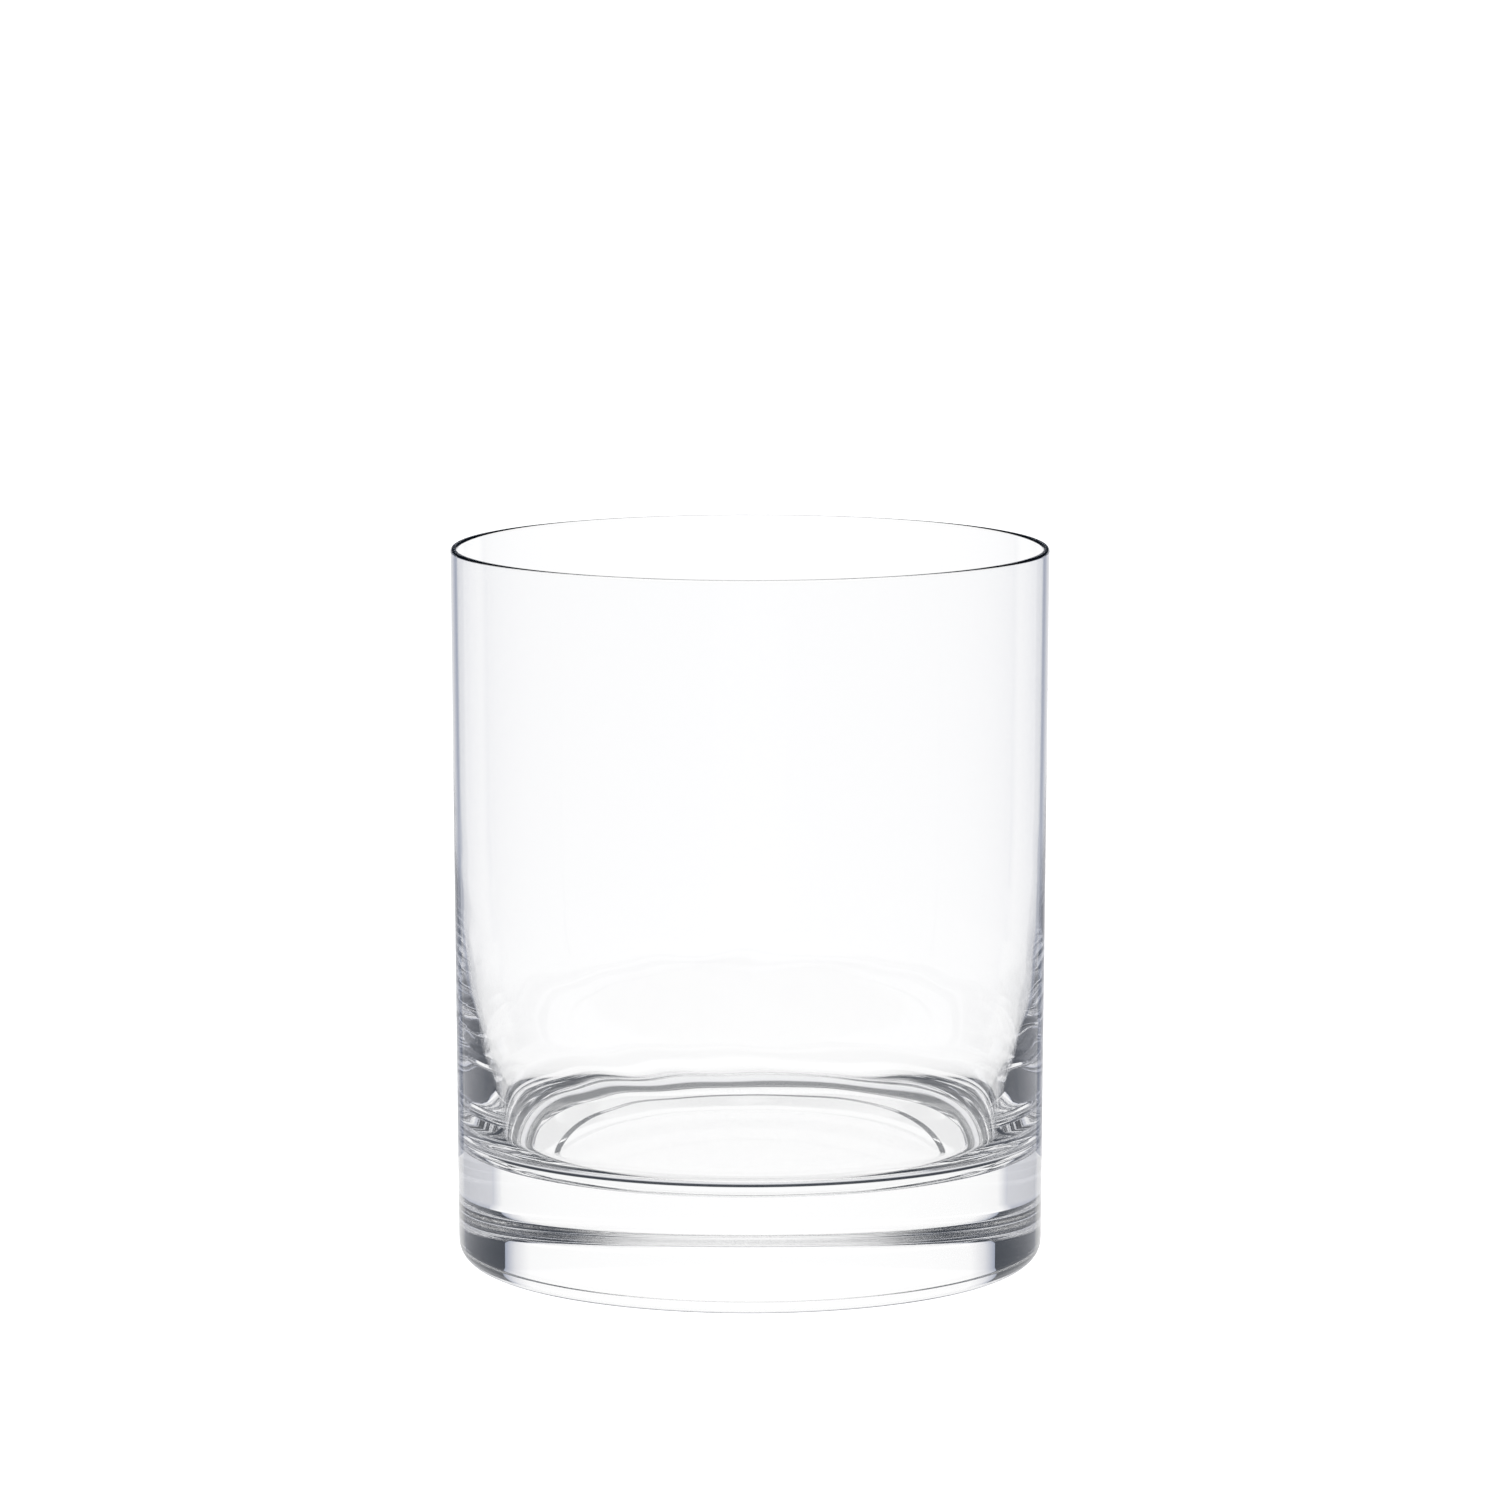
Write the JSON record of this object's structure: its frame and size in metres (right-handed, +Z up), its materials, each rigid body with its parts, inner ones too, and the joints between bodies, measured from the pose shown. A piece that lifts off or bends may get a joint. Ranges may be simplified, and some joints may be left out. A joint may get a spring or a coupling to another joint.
{
  "type": "whiskey tumbler",
  "caption": "Clear straight-sided whiskey tumbler with a thin rounded rim, a wall that thickens downwards and a heavy solid base on a flat ring foot.",
  "frame": {"origin": "centre of the flat ring foot, at the level of the table that the glass stands on", "axes": "+Z up the glass's own axis, from the foot to the open rim; X and Y are free, because the glass is a surface of revolution"},
  "size_m": [0.082, 0.082, 0.099],
  "materials": {
    "clear_glass": "clear colourless soda-lime glass, fire-polished"
  },
  "bodies": {
    "root": {"tumbler": "clear_glass"}
  },
  "joints": []
}
